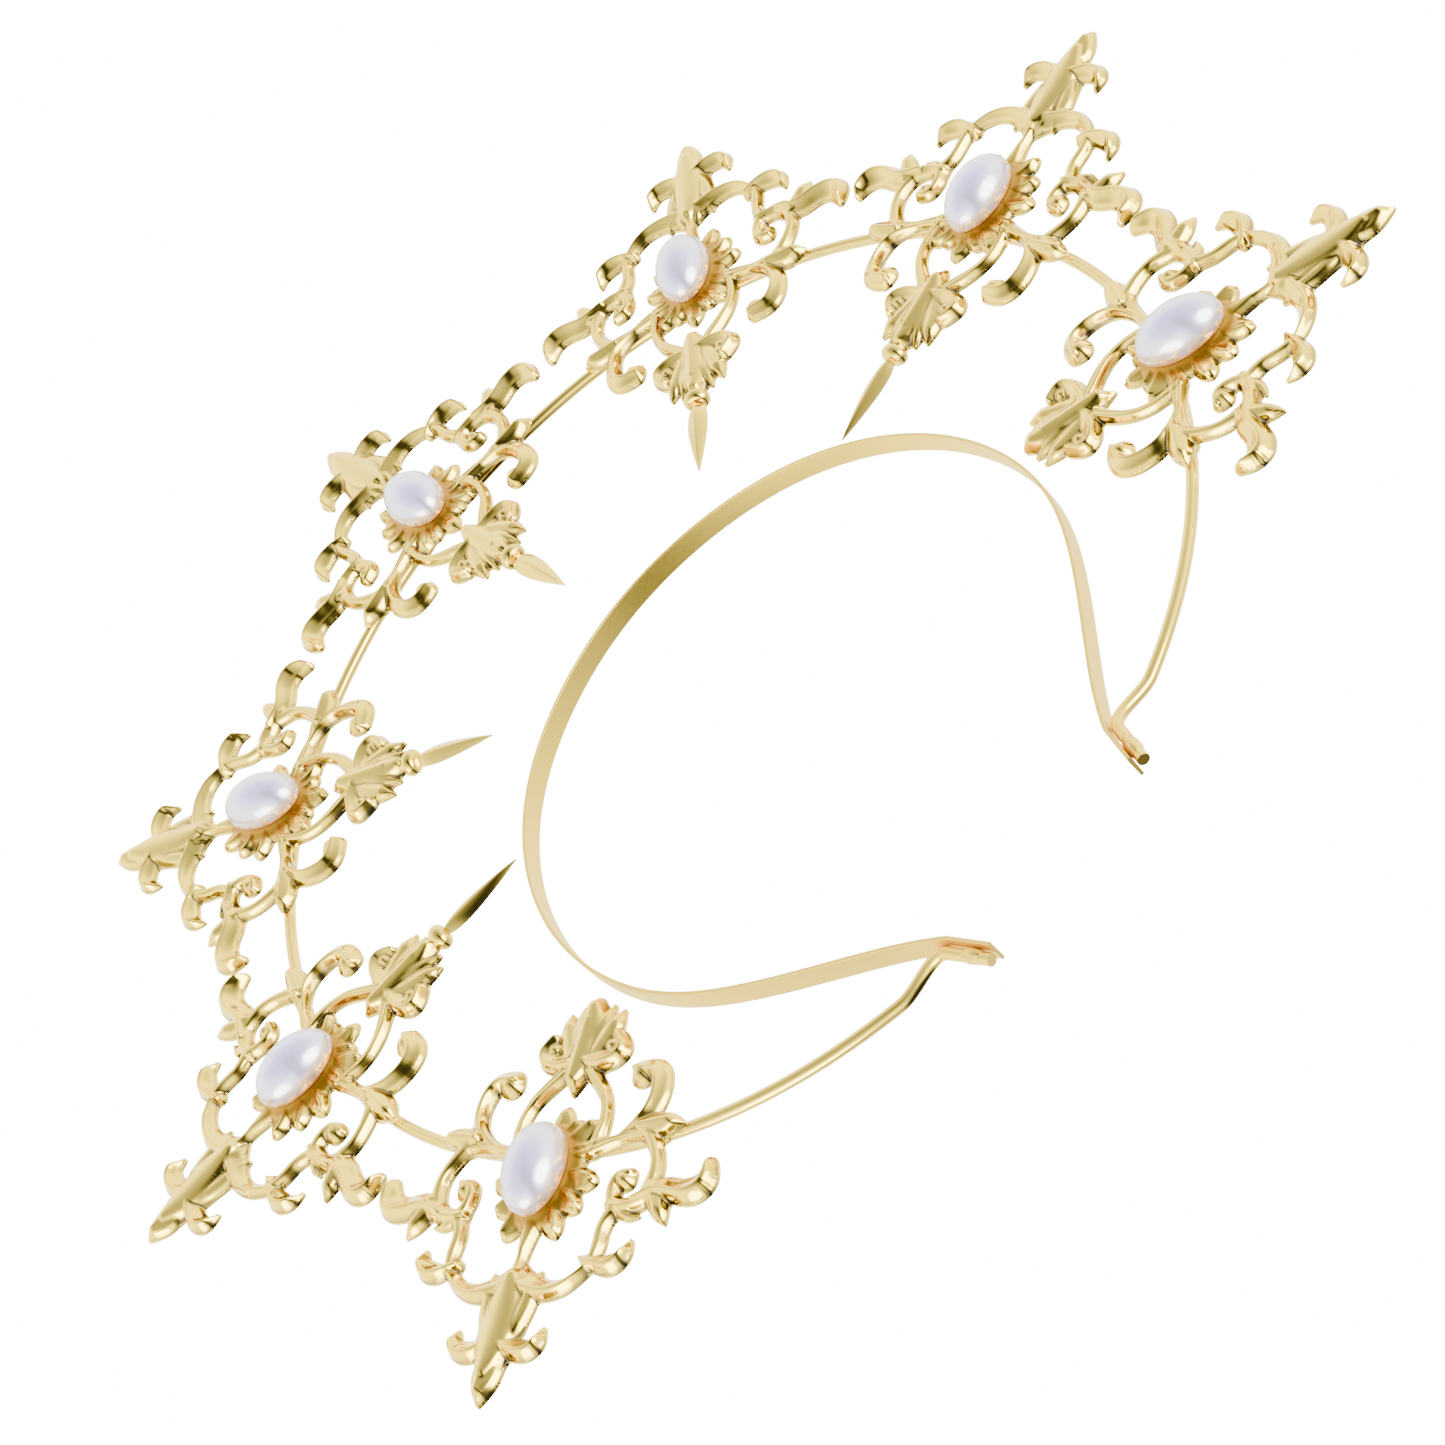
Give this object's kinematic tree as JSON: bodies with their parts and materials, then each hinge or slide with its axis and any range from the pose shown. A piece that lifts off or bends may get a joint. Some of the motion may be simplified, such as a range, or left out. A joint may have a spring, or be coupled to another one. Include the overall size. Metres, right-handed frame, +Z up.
{
  "type": "halo crown headband",
  "caption": "Halo crown headband: a flat omega headband carries a round wire ring with cast filigree ornaments, each with an oval pearl cabochon.",
  "frame": {"origin": "centre of the halo ring, in the plane of the headband's middle", "axes": "+Z up as worn, +X to the right seen from the front (the wearer's left), -Y towards the viewer, where the pearls face"},
  "size_m": [0.302, 0.0129, 0.2648],
  "materials": {
    "gilt_casting": "polished gold-tone casting",
    "gilt_wire": "polished gold-tone wire",
    "gilt_band": "polished gold-tone strip",
    "gilt_solder": "rough gold-tone solder",
    "pearl": "lustrous imitation pearl",
    "adhesive": "clear amber glue"
  },
  "bodies": {
    "root": {"headband": "gilt_band", "halo_wire": "gilt_wire", "tip_solder_left": "gilt_solder", "tip_solder_right": "gilt_solder", "filigree_1": "gilt_casting", "pearl_1": "pearl", "pearl_glue_1": "adhesive", "wire_solder_1": "gilt_solder", "filigree_2": "gilt_casting", "pearl_2": "pearl", "pearl_glue_2": "adhesive", "wire_solder_2": "gilt_solder", "filigree_3": "gilt_casting", "pearl_3": "pearl", "pearl_glue_3": "adhesive", "wire_solder_3": "gilt_solder", "filigree_4": "gilt_casting", "pearl_4": "pearl", "pearl_glue_4": "adhesive", "wire_solder_4": "gilt_solder", "filigree_5": "gilt_casting", "pearl_5": "pearl", "pearl_glue_5": "adhesive", "wire_solder_5": "gilt_solder", "filigree_6": "gilt_casting", "pearl_6": "pearl", "pearl_glue_6": "adhesive", "wire_solder_6": "gilt_solder", "filigree_7": "gilt_casting", "pearl_7": "pearl", "pearl_glue_7": "adhesive", "wire_solder_7": "gilt_solder"}
  },
  "joints": []
}
